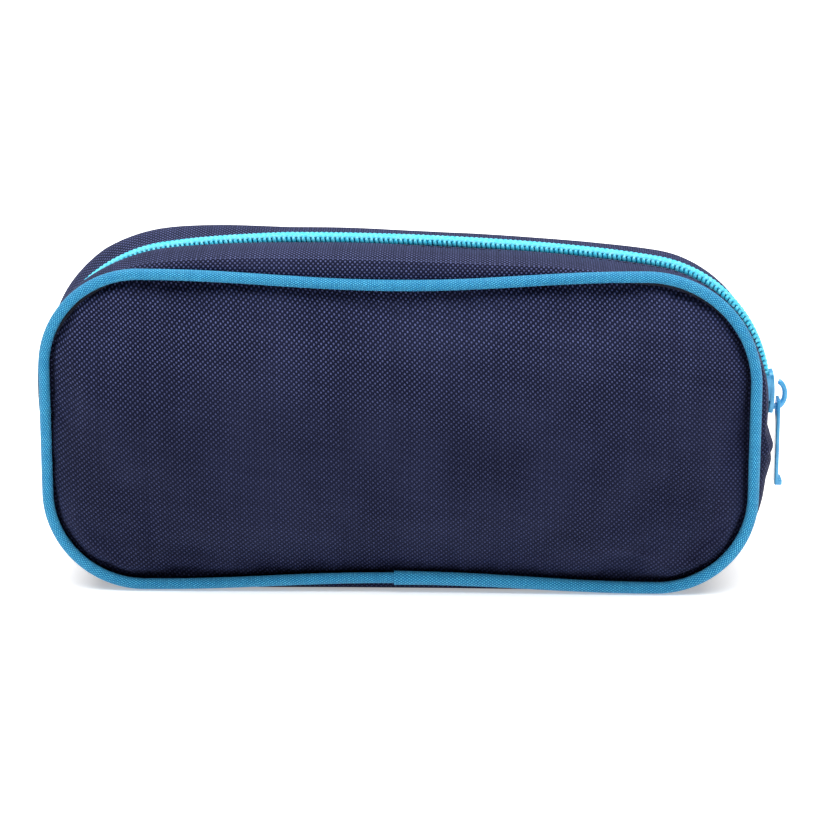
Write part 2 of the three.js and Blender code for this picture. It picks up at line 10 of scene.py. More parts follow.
import bmesh
import bpy
import numpy as np
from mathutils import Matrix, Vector, noise


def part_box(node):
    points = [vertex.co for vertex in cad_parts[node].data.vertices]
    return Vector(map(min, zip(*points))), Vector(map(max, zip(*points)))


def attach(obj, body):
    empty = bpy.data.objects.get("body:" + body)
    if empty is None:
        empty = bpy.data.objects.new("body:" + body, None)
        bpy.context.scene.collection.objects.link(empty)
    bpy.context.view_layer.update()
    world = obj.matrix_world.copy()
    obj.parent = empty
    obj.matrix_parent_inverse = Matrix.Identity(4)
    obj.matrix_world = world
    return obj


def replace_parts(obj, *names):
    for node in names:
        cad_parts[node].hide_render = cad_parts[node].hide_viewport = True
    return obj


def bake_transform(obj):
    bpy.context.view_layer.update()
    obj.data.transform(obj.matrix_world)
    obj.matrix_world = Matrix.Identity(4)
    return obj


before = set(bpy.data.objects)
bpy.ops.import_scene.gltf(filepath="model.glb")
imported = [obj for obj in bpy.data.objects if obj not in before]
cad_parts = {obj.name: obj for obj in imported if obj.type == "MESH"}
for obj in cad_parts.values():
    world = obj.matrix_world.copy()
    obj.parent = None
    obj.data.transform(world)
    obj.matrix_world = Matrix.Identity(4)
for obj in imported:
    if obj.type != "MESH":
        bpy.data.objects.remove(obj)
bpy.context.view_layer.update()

MM = 0.001

# Driving sizes in millimetres. The lines of the seam and the zip, down to ROUND_LEFT, are the
# CAD model's.
HALF_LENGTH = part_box("back_piping_sleeve")[1].x / MM
PIPING_RADIUS = 1.8
SEAM_Y = 28.0
SEAM_X = HALF_LENGTH - PIPING_RADIUS
SEAM_TOP = 100.1
SEAM_BOTTOM = 2.1
TOP_PINCH = 3.0
BOTTOM_PINCH = 2.6
CORNER = 29.2
CORNER_UPPER_RIGHT = 34.0
MIDDLE_Z = 50.0

ZIP_X, ZIP_Z = 72.0, 58.0
ZIP_RADIUS = 40.9
ZIP_SPAN = 80.0
LEFT_X = -67.0
LEFT_RADIUS = 45.6
RISE_RIGHT, RISE_LEFT = 40.0, 25.0     # handles of the curve between the zip's two rounds
BULGE_RIGHT = 116.0
BULGE_LEFT = 113.8
ROUND_RIGHT = 31.0
ROUND_LEFT = 33.0

GUSSET_EDGE = 26.7            # Y of the gusset's edges, at the seams
GUSSET_FLAT = 16.0            # Y up to which the gusset's crest is flat

# How squarely the gusset turns down to its seams, by T.
SHOULDER_T = (0.0, 0.2, 0.35, 0.7, 0.9, 1.0, 1.25, 1.35, 1.65, 1.75, 2.0)
SHOULDER = (2.3, 2.6, 4.0, 4.0, 4.0, 2.2, 2.2, 5.0, 5.0, 2.2, 2.3)
# How far the gusset is drawn in from its full round towards the seam, by T.
DRAWN_T = (0.0, 0.78, 1.0, 1.1, 1.25, 1.35, 1.65, 1.77, 1.88, 1.95, 1.985)
DRAWN = (0.0, 0.0, 0.45, 0.6, 0.6, 0.0, 0.0, 0.8, 0.75, 0.4, 0.0)
# The zip lies a little deeper at the top left corner, by T.
SUNK_T = (0.62, 0.74, 0.86, 0.96)
SUNK = (0.0, 1.1, 1.1, 0.0)

FABRIC = 0.7
FOAM_THICKNESS = 2.0
LINING = 0.4
LAYER_GAP = 0.3
TAPE_DEPTH = 1.0
TAPE_THICKNESS = 0.5
TAPE_INNER_Y, TAPE_OUTER_Y = 0.75, 12.5
STRIP_EDGE = 4.4              # Y of the strips' folded edges beside the zip
MET_EDGE = 0.2                # and where they meet below its ends
STRIP_LINING_DEPTH = 1.8
STRIP_LINING_EDGE = 6.0
STITCH_LENGTH, STITCH_PITCH = 1.9, 2.6
CROSS_SEAM = 7.0              # how far below the middle height each cross seam lies
COIL_PITCH = 1.5
COIL_MARGIN = 1.5             # from each end of the zip line to the coil
COIL_PROUD = 1.4
WIRE_RADIUS = 0.58            # of the coil
LOOP_MIDDLE_Y = 1.45
LOOP_REACH = 1.4              # how far the coil's loops reach from there to both sides
LOOP_HEIGHT = 0.95
LOOP_DEPTH = 1.05             # of the loops' middle below the coil's crest
LOOP_LEAN = 0.34              # share of the pitch
THREAD_RADIUS = 0.52          # of the sewing threads on the coil
THREAD_Y = (0.75, 2.3)

# How far each zip strip stands up between the zip and its seam, by T.
FRONT_FULLNESS_T = (0.0, 0.25, 0.4, 0.7, 0.86, 0.93, 1.0)
FRONT_FULLNESS = (0.0, 0.2, 0.8, 0.8, 2.2, 1.6, 0.0)
BACK_FULLNESS_T = (0.0, 0.2, 0.45, 0.62, 0.74, 0.82, 0.88, 1.0)
BACK_FULLNESS = (0.3, 1.0, 0.0, 0.8, 2.4, 3.3, 2.4, 0.3)
CREASE = 0.45                 # height of the crease beside the seam
CREASE_TURN = 0.84
CREASE_WIDTH = 0.05
HUMP_START = 3.0              # Y at which a strip's fullness begins
RIPPLE = 0.35                 # height of the soft ripples
RIPPLE_SCALE = 0.035
DIP = 0.7                     # depth of the groove at each cross seam
DIP_WIDTH = 1.1

# The top of the back has sunk, more at its right end than at its left.
SLUMP_LEFT, SLUMP_RIGHT = 2.4, 5.8
SLUMP_X = (15.0, 75.0)
SLUMP_Y = (16.0, 27.0)
SLUMP_Z = (60.0, 95.0)


# ---- outlines ----

def arc(centre_x, centre_z, radius, start, end):
    angle = np.radians(np.linspace(start, end, 90))
    return np.column_stack([centre_x + radius * np.cos(angle),
                            centre_z + radius * np.sin(angle)])


def bezier(*corners):
    a, b, c, d = (np.array(corner, float) for corner in corners)
    t = np.linspace(0, 1, 90)[:, None]
    return (1 - t) ** 3 * a + 3 * (1 - t) ** 2 * t * b + 3 * (1 - t) * t ** 2 * c + t ** 3 * d


def spaced(points, count):
    """The same line with its points evenly spaced."""
    steps = np.hypot(*np.diff(points, axis=0).T)
    along = np.concatenate([[0], np.cumsum(steps)])
    wanted = np.linspace(0, along[-1], count)
    line = np.column_stack([np.interp(wanted, along, points[:, k]) for k in (0, 1)])
    return line, along[-1]


class Loop:
    """A closed outline in the X-Z plane, with its outward normals, read by T."""

    SAMPLES = 700

    def __init__(self, upper, lower):
        top, self.upper_length = spaced(np.vstack(upper), self.SAMPLES + 1)
        bottom, self.lower_length = spaced(np.vstack(lower), self.SAMPLES + 1)
        self.points = np.vstack([top[:-1], bottom[:-1]])
        tangent = np.roll(self.points, -6, 0) - np.roll(self.points, 6, 0)
        tangent /= np.linalg.norm(tangent, axis=1)[:, None]
        self.normals = np.column_stack([tangent[:, 1], -tangent[:, 0]])
        self.keys = np.arange(2 * self.SAMPLES) / self.SAMPLES

    def read(self, table, t):
        return np.stack([np.interp(t, self.keys, table[:, k], period=2) for k in (0, 1)], -1)

    def at(self, t):
        return self.read(self.points, t)

    def normal(self, t):
        return self.read(self.normals, t)

    def length_at(self, t):
        """Distance along the outline in millimetres, running on past 0 and 2."""
        t = np.asarray(t, float)
        upper = np.clip(t, None, 1) * self.upper_length
        return upper + np.clip(t - 1, 0, None) * self.lower_length


def seam_loop():
    x, low_z = SEAM_X - CORNER, SEAM_BOTTOM + CORNER
    right_x = SEAM_X - CORNER_UPPER_RIGHT
    low, high = SEAM_TOP - TOP_PINCH, SEAM_BOTTOM + BOTTOM_PINCH
    upper = [
        [(SEAM_X, MIDDLE_Z)],
        arc(right_x, SEAM_TOP - CORNER_UPPER_RIGHT, CORNER_UPPER_RIGHT, 0, 90),
        bezier((right_x, SEAM_TOP), (0.6 * right_x, SEAM_TOP), (0.4 * right_x, low), (0, low)),
        bezier((0, low), (-0.4 * x, low), (-0.6 * x, SEAM_TOP), (-x, SEAM_TOP)),
        arc(-x, SEAM_TOP - CORNER, CORNER, 90, 180),
        [(-SEAM_X, MIDDLE_Z)],
    ]
    lower = [
        [(-SEAM_X, MIDDLE_Z)],
        arc(-x, low_z, CORNER, 180, 270),
        bezier((-x, SEAM_BOTTOM), (-0.6 * x, SEAM_BOTTOM), (-0.4 * x, high), (0, high)),
        bezier((0, high), (0.4 * x, high), (0.6 * x, SEAM_BOTTOM), (x, SEAM_BOTTOM)),
        arc(x, low_z, CORNER, 270, 360),
        [(SEAM_X, MIDDLE_Z)],
    ]
    return Loop(upper, lower)


def ridge_loop():
    right_x, left_x = ZIP_X + ZIP_RADIUS, LEFT_X - LEFT_RADIUS
    span = math.radians(ZIP_SPAN)
    end_x = ZIP_X + ZIP_RADIUS * math.cos(span)
    end_z = ZIP_Z + ZIP_RADIUS * math.sin(span)
    slope = 1 / math.tan(span)
    start_x = LEFT_X - LEFT_RADIUS * math.cos(span)
    start_z = ZIP_Z + LEFT_RADIUS * math.sin(span)
    upper = [
        [(right_x, MIDDLE_Z)],
        arc(ZIP_X, ZIP_Z, ZIP_RADIUS, 0, ZIP_SPAN),
        bezier((end_x, end_z), (end_x - RISE_RIGHT, end_z + RISE_RIGHT * slope),
               (start_x + RISE_LEFT, start_z + RISE_LEFT * slope), (start_x, start_z)),
        arc(LEFT_X, ZIP_Z, LEFT_RADIUS, 180 - ZIP_SPAN, 180),
        [(left_x, MIDDLE_Z)],
    ]
    lower = [
        bezier((left_x, MIDDLE_Z), (-BULGE_LEFT, MIDDLE_Z - 4), (-BULGE_LEFT, MIDDLE_Z - 8),
               (-BULGE_LEFT, ROUND_LEFT)),
        arc(-BULGE_LEFT + ROUND_LEFT, ROUND_LEFT, ROUND_LEFT, 180, 270),
        arc(BULGE_RIGHT - ROUND_RIGHT, ROUND_RIGHT, ROUND_RIGHT, 270, 360),
        bezier((BULGE_RIGHT, ROUND_RIGHT), (BULGE_RIGHT, MIDDLE_Z - 8),
               (BULGE_RIGHT, MIDDLE_Z - 4), (right_x, MIDDLE_Z)),
    ]
    return Loop(upper, lower)


def drawn_in(ridge, seam):
    """The ridge, drawn in towards the seam where the gusset isn't full."""
    share = np.interp(ridge.keys, DRAWN_T, DRAWN)[:, None]
    points = ridge.points + (seam.at(ridge.keys) - ridge.points) * share
    upper = ridge.keys <= 1
    return Loop([points[upper]], [points[~upper]])


SEAM = seam_loop()
RIDGE = drawn_in(ridge_loop(), SEAM)
CROSS_T = CROSS_SEAM / SEAM.lower_length


# ---- meshes ----

# Edges that turn by more degrees than this stay sharp, or are bevelled.
SHARP_ANGLE = 50
BEVELLED_SHARP_ANGLE = 40
BEVEL_ANGLE = 35


def grid_faces(nu, nv, wrap_u, wrap_v, offset=0, flip=False):
    """Quads of a grid, and for each quad the grid places of its corners."""
    faces, places = [], []
    for i in range(nu if wrap_u else nu - 1):
        for j in range(nv if wrap_v else nv - 1):
            corners = [(i, j), (i + 1, j), (i + 1, j + 1), (i, j + 1)]
            if flip:
                corners.reverse()
            faces.append([offset + (a % nu) * nv + b % nv for a, b in corners])
            places.append(corners)
    return faces, places


def finish_mesh(name, vertices, faces, corner_uvs):
    mesh = bpy.data.meshes.new(name)
    mesh.from_pydata((np.asarray(vertices) * MM).tolist(), [], faces)
    if corner_uvs is not None:
        layer = mesh.uv_layers.new(name="UVMap")
        layer.data.foreach_set("uv", np.asarray(corner_uvs, float).ravel())
    obj = bpy.data.objects.new(name, mesh)
    bpy.context.scene.collection.objects.link(obj)
    edit = bmesh.new()
    edit.from_mesh(mesh)
    bmesh.ops.recalc_face_normals(edit, faces=edit.faces)
    edit.to_mesh(mesh)
    edit.free()
    mesh.shade_smooth()
    mesh.set_sharp_from_angle(angle=math.radians(SHARP_ANGLE))
    return obj


def shell(name, outer, inner, uv):
    """A sheet with thickness between two grids of points, which share one UV grid."""
    nu, nv = outer.shape[:2]
    count = nu * nv
    faces, places = grid_faces(nu, nv, False, False)
    back, back_places = grid_faces(nu, nv, False, False, count, flip=True)
    faces += back
    places += back_places
    rims = [((i, j), (i + 1, j)) for j in (0, nv - 1) for i in range(nu - 1)]
    rims += [((i, j), (i, j + 1)) for i in (0, nu - 1) for j in range(nv - 1)]
    for p, q in rims:
        near = [i * nv + j for i, j in (p, q)]
        faces.append([near[0], near[1], near[1] + count, near[0] + count])
        places.append([p, q, q, p])
    corner_uvs = [uv[i, j] for corners in places for i, j in corners]
    vertices = np.vstack([outer.reshape(-1, 3), inner.reshape(-1, 3)])
    return finish_mesh(name, vertices, faces, corner_uvs)


def frames_along(points, reference):
    """Two unit vectors across a line at each point, turned as little as possible."""
    tangent = np.gradient(points, axis=0)
    tangent /= np.linalg.norm(tangent, axis=1)[:, None]
    first = np.empty_like(points)
    last = np.array(reference, float)
    for i, direction in enumerate(tangent):
        last = last - direction * (last @ direction)
        last /= np.linalg.norm(last)
        first[i] = last
    return first, np.cross(tangent, first)


def rings(points, sides, reference):
    """A unit circle across a line at each of its points, as offsets from the point."""
    first, second = frames_along(points, reference)
    angle = np.linspace(0, 2 * math.pi, sides, endpoint=False)
    return (np.cos(angle)[None, :, None] * first[:, None]
            + np.sin(angle)[None, :, None] * second[:, None])


def tube(name, points, radius, sides, reference):
    """A rod with closed ends. Its UV is in millimetres, along it and around it."""
    radius = np.broadcast_to(radius, len(points))
    vertices = points[:, None] + rings(points, sides, reference) * radius[:, None, None]
    steps = np.linalg.norm(np.diff(points, axis=0), axis=1)
    along = np.concatenate([[0], np.cumsum(steps)])
    around = np.linspace(0, 2 * math.pi * radius.mean(), sides + 1)
    uv = np.stack(np.meshgrid(along, around, indexing="ij"), -1)
    faces, places = grid_faces(len(points), sides, False, True)
    corner_uvs = [uv[i, j] for corners in places for i, j in corners]
    for end in (0, len(points) - 1):
        faces.append([end * sides + j for j in range(sides)])
        corner_uvs += [uv[end, j] for j in range(sides)]
    return finish_mesh(name, vertices.reshape(-1, 3), faces, corner_uvs)


def joined(name, pieces):
    """Joins meshes that are one material and one piece."""
    with bpy.context.temp_override(active_object=pieces[0], object=pieces[0],
                                   selected_objects=pieces, selected_editable_objects=pieces):
        bpy.ops.object.join()
    pieces[0].name = pieces[0].data.name = name
    return pieces[0]


def bevelled(obj, width, segments=2):
    """Rounds the edges of a hard piece and fixes the result in its mesh."""
    modifier = obj.modifiers.new("round", "BEVEL")
    modifier.width = width * MM
    modifier.segments = segments
    modifier.limit_method = "ANGLE"
    modifier.angle_limit = math.radians(BEVEL_ANGLE)
    modifier.harden_normals = False
    bpy.context.view_layer.update()
    evaluated = obj.evaluated_get(bpy.context.evaluated_depsgraph_get())
    mesh = bpy.data.meshes.new_from_object(evaluated)
    obj.modifiers.clear()
    obj.data = mesh
    mesh.shade_smooth()
    mesh.set_sharp_from_angle(angle=math.radians(BEVELLED_SHARP_ANGLE))
    return obj


# ---- materials ----

def colour(code):
    """A hex colour as linear red, green, blue and alpha."""
    channels = [int(code[i:i + 2], 16) / 255 for i in (0, 2, 4)]
    return [c / 12.92 if c <= 0.04045 else ((c + 0.055) / 1.055) ** 2.4 for c in channels] + [1]


class Nodes:
    """Short names for adding and linking a material's nodes."""

    def __init__(self, name):
        self.material = bpy.data.materials.new(name)
        self.material.use_nodes = True
        self.tree = self.material.node_tree
        self.shader = self.tree.nodes["Principled BSDF"]

    def add(self, kind, inputs=(), **settings):
        node = self.tree.nodes.new(kind)
        for key, value in settings.items():
            setattr(node, key, value)
        for socket, value in dict(inputs).items():
            if isinstance(value, bpy.types.NodeSocket):
                self.tree.links.new(value, node.inputs[socket])
            else:
                node.inputs[socket].default_value = value
        return node

    def math(self, operation, a, b=0.0):
        return self.add("ShaderNodeMath", {0: a, 1: b}, operation=operation).outputs[0]

    def ramp(self, value, low, high):
        """Value from low to high, made 0 to 1 with soft ends."""
        node = self.add("ShaderNodeMapRange", {"Value": value, "From Min": low, "From Max": high},
                        interpolation_type="SMOOTHSTEP")
        return node.outputs["Result"]

    def mix(self, factor, a, b):
        node = self.add("ShaderNodeMix", {0: factor, 6: a, 7: b}, data_type="RGBA")
        return node.outputs[2]

    def noise(self, vector, scale, detail=2.0):
        node = self.add("ShaderNodeTexNoise",
                        {"Vector": vector, "Scale": scale, "Detail": detail})
        return node.outputs["Fac"]

    def random(self, number):
        node = self.add("ShaderNodeTexWhiteNoise", {"W": number}, noise_dimensions="1D")
        return node.outputs["Value"]

    def place(self, kind="UV"):
        return self.add("ShaderNodeTexCoord").outputs[kind]

    def set(self, **values):
        for key, value in values.items():
            self.shader.inputs[key.replace("_", " ")].default_value = value

    def link(self, socket, name):
        self.tree.links.new(socket, self.shader.inputs[name])

    def bump(self, height, distance, strength=1.0):
        node = self.add("ShaderNodeBump",
                        {"Height": height, "Distance": distance, "Strength": strength})
        self.link(node.outputs["Normal"], "Normal")


# Painted light: the canvas's light threads are painted stronger between these two heights, in
# metres, standing in for the top light on the upper canvas.
TOP_LIGHT_HEIGHTS = (0.045, 0.098)


def weave(name, dark, light, across, along, turn=0.0, bump=0.12, rough=0.75, sheen=0.2,
          sheen_tint="8890C8", low=0.1, high=0.95, patches=0.05, gloss=0.12,
          top_light_paint=0.0):
    """Plain weave. Threads are across and along millimetres wide on a UV in millimetres."""
    n = Nodes(name)
    mapped = n.add("ShaderNodeMapping", {"Vector": n.place(),
                                         "Rotation": (0, 0, math.radians(turn))})
    split = n.add("ShaderNodeSeparateXYZ", {0: mapped.outputs[0]})
    wave_u = n.math("SINE", n.math("MULTIPLY", split.outputs[0], math.pi / across))
    wave_v = n.math("SINE", n.math("MULTIPLY", split.outputs[1], math.pi / along))
    product = n.math("MULTIPLY", wave_u, wave_v)
    floats = n.ramp(product, low, high)
    warp = n.math("FLOOR", n.math("DIVIDE", split.outputs[0], across))
    weft = n.math("FLOOR", n.math("DIVIDE", split.outputs[1], along))
    thread = n.math("ADD", n.random(warp), n.random(weft))
    patch = n.ramp(n.noise(n.place("Object"), 38.0), 0.3, 0.7)
    strength = n.math("MULTIPLY", floats, n.math("ADD", n.math("MULTIPLY", thread, 0.3), 0.55))
    # Painted light: the light threads are drawn weaker low down and at full strength high up, in
    # place of the top light falling on the upper canvas.
    above_floor = n.add("ShaderNodeSeparateXYZ", {0: n.place("Object")}).outputs[2]
    clear = n.math("MULTIPLY", n.ramp(above_floor, *TOP_LIGHT_HEIGHTS), top_light_paint)
    strength = n.math("MULTIPLY", strength, n.math("ADD", clear, 1 - top_light_paint))
    base = n.mix(n.math("MULTIPLY", patch, patches), colour(dark), colour(light))
    n.link(n.mix(strength, base, colour(light)), "Base Color")
    height = n.math("ADD", n.math("POWER", n.math("ABSOLUTE", product), 0.6),
                    n.math("MULTIPLY", floats, 0.5))
    n.bump(height, bump * MM)
    n.set(Roughness=rough, Sheen_Weight=sheen, Sheen_Roughness=0.45,
          Sheen_Tint=colour(sheen_tint), Specular_IOR_Level=gloss)
    return n.material


def plain(name, tone, second, rough, scale, bump=0.05, metallic=0.0, coat=0.0):
    """A moulded, painted or spun surface with fine variation in tone and height."""
    n = Nodes(name)
    grain = n.noise(n.place("Object"), scale, 4.0)
    n.link(n.mix(n.ramp(grain, 0.35, 0.75), colour(tone), colour(second)), "Base Color")
    n.bump(grain, bump * MM)
    n.set(Roughness=rough, Metallic=metallic, Coat_Weight=coat)
    return n.material


# The canvas carries painted light: its light threads are weaker towards the bottom and stronger
# towards the top.
CANVAS = weave("canvas_weave", "040822", "5A6292", 0.74, 0.80, sheen=0.12, low=0.0,
               high=0.9, top_light_paint=0.6)
PIPING = weave("piping_weave", "0077B4", "68D6F8", 0.64, 0.38, turn=3, bump=0.2, rough=0.5,
               sheen=0.1, sheen_tint="BFE6FF", low=-0.1, high=0.6, gloss=0.2)
TAPE = weave("tape_weave", "0C1228", "222A50", 0.5, 0.5, bump=0.08)
LINING_CLOTH = weave("lining_weave", "171A24", "343846", 0.35, 0.35, bump=0.04, rough=0.6)
BINDING = weave("binding_weave", "10131F", "2A2F42", 0.6, 0.6, bump=0.08)
THREAD = plain("navy_thread", "131A3C", "2C355E", 0.6, 900, 0.05)
ZIP_THREAD = plain("zip_thread", "44D0F2", "8EEBFC", 0.5, 1200, 0.06)
COIL = plain("coil_nylon", "38CCF0", "6FE2FA", 0.35, 600, 0.02, coat=0.15)
PAINT = plain("slider_paint", "3C9CD2", "58B2E2", 0.32, 500, 0.03, metallic=0.1, coat=0.25)
FOAM = plain("foam_cells", "D5D5CF", "F0F0EA", 0.95, 700, 0.2)
CORD = plain("cord_yarn", "DAD7CE", "F2F0EA", 0.9, 800, 0.1)


def dress(obj, material):
    obj.data.materials.clear()
    obj.data.materials.append(material)
    return obj


def fold(obj):
    """Bakes the transform of a soft piece of the front half into its mesh."""
    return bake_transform(obj)


# ---- the gusset's surface ----

def smoothstep(value, low, high):
    t = np.clip((value - low) / (high - low), 0, 1)
    return t * t * (3 - 2 * t)


def wander(t, y, scale, seed):
    """Soft random height, the same on every run."""
    along = RIDGE.length_at(t)
    values = [noise.noise(Vector((a * scale, b * scale, seed)))
              for a, b in zip(np.ravel(along), np.ravel(y))]
    return np.reshape(values, np.shape(y))


def gusset_points(t, turn, y, depth):
    """Points of the gusset. turn counts from the crest's edge, 0, to the seam, 1."""
    seam, ridge = SEAM.at(t), RIDGE.at(t)
    seam_normal, ridge_normal = SEAM.normal(t), RIDGE.normal(t)
    outward = ((ridge - seam) * seam_normal).sum(-1)
    sideways = smoothstep(outward, -1, 3)
    edge = GUSSET_EDGE - depth * sideways
    base = seam - seam_normal * (depth * (1 - sideways))[..., None]
    crest = ridge - ridge_normal * depth
    power = np.interp(t, SHOULDER_T, SHOULDER)
    rise = (1 - turn ** power) ** (1 / power)
    across = np.where(turn > 0, GUSSET_FLAT + turn * (edge - GUSSET_FLAT), y)
    place = base + (crest - base) * rise[..., None]
    return place, across, ridge_normal


def gusset_grid(t_values, turns, inner_y, side, depth):
    """A grid over one side of the gusset, from the seam in to inner_y (one value for each T)."""
    flat_steps = np.linspace(0, 1, 9)[1:]
    t = np.repeat(t_values[:, None], len(turns) + len(flat_steps), 1)
    turn = np.concatenate([turns, np.zeros(len(flat_steps))])[None].repeat(len(t_values), 0)
    inner = np.asarray(inner_y, float)[:, None]
    flat_y = GUSSET_FLAT + (inner - GUSSET_FLAT) * flat_steps[None]
    y = np.concatenate([np.full((len(t_values), len(turns)), GUSSET_FLAT), flat_y], 1)
    place, across, normal = gusset_points(t, turn, y, depth)
    if t_values[0] < 1:
        place = place + normal * strip_lift(t, turn, across, side)[..., None]
    points = np.stack([place[..., 0], side * across, place[..., 1]], -1)
    steps = np.linalg.norm(np.diff(points[:, ::-1], axis=1), axis=2)
    width = np.concatenate([inner, inner + np.cumsum(steps, 1)], 1)[:, ::-1]
    return points, np.stack([RIDGE.length_at(t), side * width], -1)


def strip_lift(t, turn, across, side):
    """How far a zip strip stands above its plain shape: its fullness, crease and ripples."""
    hump = np.sin(math.pi * np.clip((across - HUMP_START) / (GUSSET_EDGE - HUMP_START), 0, 1)) ** 2
    if side < 0:
        swell = np.interp(t, FRONT_FULLNESS_T, FRONT_FULLNESS)
    else:
        swell = np.interp(t, BACK_FULLNESS_T, BACK_FULLNESS)
    crease = CREASE * np.exp(-((turn - CREASE_TURN) / CREASE_WIDTH) ** 2)
    ripples = RIPPLE * wander(t, side * across, RIPPLE_SCALE, 3.0)
    ripples = ripples * smoothstep(GUSSET_EDGE - across, 0, 4)
    return swell * hump + crease + ripples


# Rows of the gusset from the seam, 1, to the crest's edge, 0, closest together at the seam.
TURNS = 1 - np.linspace(0, 1, 26) ** 1.5


def cross_dip(t_values):
    """A shallow groove at each cross seam, in millimetres, by T."""
    ends = np.array([-CROSS_T, 1 + CROSS_T, 2 - CROSS_T])
    distance = np.abs(t_values[:, None] - ends[None]).min(1) * SEAM.lower_length
    return DIP * np.exp(-(distance / DIP_WIDTH) ** 2)


def pushed_in(points, t_values, amount):
    """Moves each row of a grid towards the inside, by its own amount."""
    normal = RIDGE.normal(t_values)
    points[..., 0] -= (normal[:, 0] * amount)[:, None]
    points[..., 2] -= (normal[:, 1] * amount)[:, None]
    return points


def strip_t():
    return np.linspace(-CROSS_T, 1 + CROSS_T, 300)


def strip_edge(t_values):
    """The strips' folded edges lie beside the zip, and meet below its two ends."""
    beyond = np.maximum(-t_values, t_values - 1) * SEAM.lower_length
    return MET_EDGE + (STRIP_EDGE - MET_EDGE) * (1 - smoothstep(beyond, -1.0, 1.6))


def strip(word, side, depth, thickness, inner_y, material, suffix):
    t = strip_t()
    grids = [gusset_grid(t, TURNS, inner_y, side, d) for d in (depth, depth + thickness)]
    outer, inner = (pushed_in(points, t, cross_dip(t)) for points, _ in grids)
    piece = shell(f"zip_gusset_{word}_{suffix}_soft", outer, inner, grids[0][1])
    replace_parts(dress(piece, material), f"zip_gusset_{word}_{suffix}")
    return piece


def bottom_band(depth, thickness, material, suffix):
    t = np.linspace(1 + CROSS_T, 2 - CROSS_T, 260)
    skins = []
    for d in (depth, depth + thickness):
        sides = [gusset_grid(t, TURNS, np.zeros(len(t)), side, d) for side in (-1, 1)]
        points = np.concatenate([sides[0][0], sides[1][0][:, -2::-1]], 1)
        uv = np.concatenate([sides[0][1], sides[1][1][:, -2::-1]], 1)
        skins.append((pushed_in(points, t, cross_dip(t)), uv))
    piece = shell(f"bottom_gusset_{suffix}_soft", skins[0][0], skins[1][0], skins[0][1])
    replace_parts(dress(piece, material), f"bottom_gusset_{suffix}")
    return fold(piece)


# ---- zip ----

def zip_line(t_values, height, y):
    """Points along the zip at a height above the gusset's crest."""
    sunk = np.interp(t_values, SUNK_T, SUNK) * (1 - smoothstep(np.abs(y), 4, 6.5))
    place = RIDGE.at(t_values) + RIDGE.normal(t_values) * (height - sunk)[..., None]
    return np.stack([place[..., 0], np.broadcast_to(y, place.shape[:-1]), place[..., 1]], -1)


def tail_spread(t_values):
    """The coils part round the slider's post at the right end."""
    along = RIDGE.length_at(t_values)
    return 0.75 * (1 - smoothstep(along, 3.5, 6.5))


def coil(word, side):
    """One side of the zip: a flattened spiral whose loops reach a little past the middle."""
    start, end = COIL_MARGIN, RIDGE.upper_length - COIL_MARGIN
    turns = int((end - start) / COIL_PITCH)
    per_turn = 16
    phase = np.linspace(0, turns, turns * per_turn + 1)
    angle = 2 * math.pi * (phase + (0.5 if side > 0 else 0.0))
    lean = LOOP_LEAN * np.sin(angle) * COIL_PITCH
    along = start + phase * COIL_PITCH + lean
    t = along / RIDGE.upper_length
    y = side * (LOOP_MIDDLE_Y - LOOP_REACH * np.cos(angle) + tail_spread(t))
    height = COIL_PROUD - LOOP_DEPTH + LOOP_HEIGHT * np.sin(angle)
    points = zip_line(t, height, y)
    loops = tube(f"zip_coil_{word}_loops", points, WIRE_RADIUS, 6, (0, 1, 0))
    thread_t = np.linspace(start, end, turns * 6) / RIDGE.upper_length
    wave = np.cos(2 * math.pi * thread_t * RIDGE.upper_length / COIL_PITCH)
    threads = []
    for offset in THREAD_Y:
        line = zip_line(thread_t, COIL_PROUD - 0.05 + 0.12 * wave,
                        side * (offset + tail_spread(thread_t)))
        threads.append(tube(f"zip_thread_{word}_{offset}", line, THREAD_RADIUS, 6,
                            (0, 1, 0)))
    thread = joined(f"zip_thread_{word}", threads)
    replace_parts(dress(loops, COIL), f"zip_coil_{word}")
    dress(thread, ZIP_THREAD)
    return [loops, thread]


def tape(word, side):
    t = np.linspace(-0.5 * CROSS_T, 1 + 0.5 * CROSS_T, 220)
    y = np.linspace(TAPE_INNER_Y, TAPE_OUTER_Y, 8)
    spread = tail_spread(t)[:, None]
    skins = []
    for depth in (TAPE_DEPTH, TAPE_DEPTH + TAPE_THICKNESS):
        across = side * (y[None] + spread * (1 - y[None] / TAPE_OUTER_Y))
        skins.append(zip_line(np.repeat(t[:, None], len(y), 1),
                              np.full((len(t), len(y)), -depth), across))
    uv = np.stack(np.meshgrid(RIDGE.length_at(t), y, indexing="ij"), -1)
    piece = shell(f"zip_tape_{word}_soft", skins[0], skins[1], uv)
    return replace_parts(dress(piece, TAPE), f"zip_tape_{word}")


def stitches(name, t_values, y, height, side):
    """A row of lockstitches along the gusset, each a short sunk capsule."""
    start, end = (RIDGE.length_at(t) for t in t_values)
    pieces = []
    for along in np.arange(start + STITCH_PITCH, end - STITCH_PITCH, STITCH_PITCH):
        ends = (along - STITCH_LENGTH / 2, along + STITCH_LENGTH / 2)
        t = np.linspace(*ends, 6) / RIDGE.upper_length
        arch = np.sin(np.linspace(0, math.pi, 6))
        line = zip_line(t, height + 0.18 * arch - 0.12, side * y)
        pieces.append((line, 0.05 + 0.13 * arch ** 0.5))
    return merged_tubes(name, pieces, 5)


def merged_tubes(name, lines, sides):
    """Many short tubes as one mesh."""
    vertices, faces = [], []
    for points, radius in lines:
        base = len(vertices)
        ring = rings(points, sides, (0, 1, 0))
        vertices += list((points[:, None] + ring * radius[:, None, None]).reshape(-1, 3))
        faces += grid_faces(len(points), sides, False, True, base)[0]
        faces += [[base + end * sides + j for j in range(sides)] for end in (0, len(points) - 1)]
    return finish_mesh(name, vertices, faces, None)


# ---- panels ----

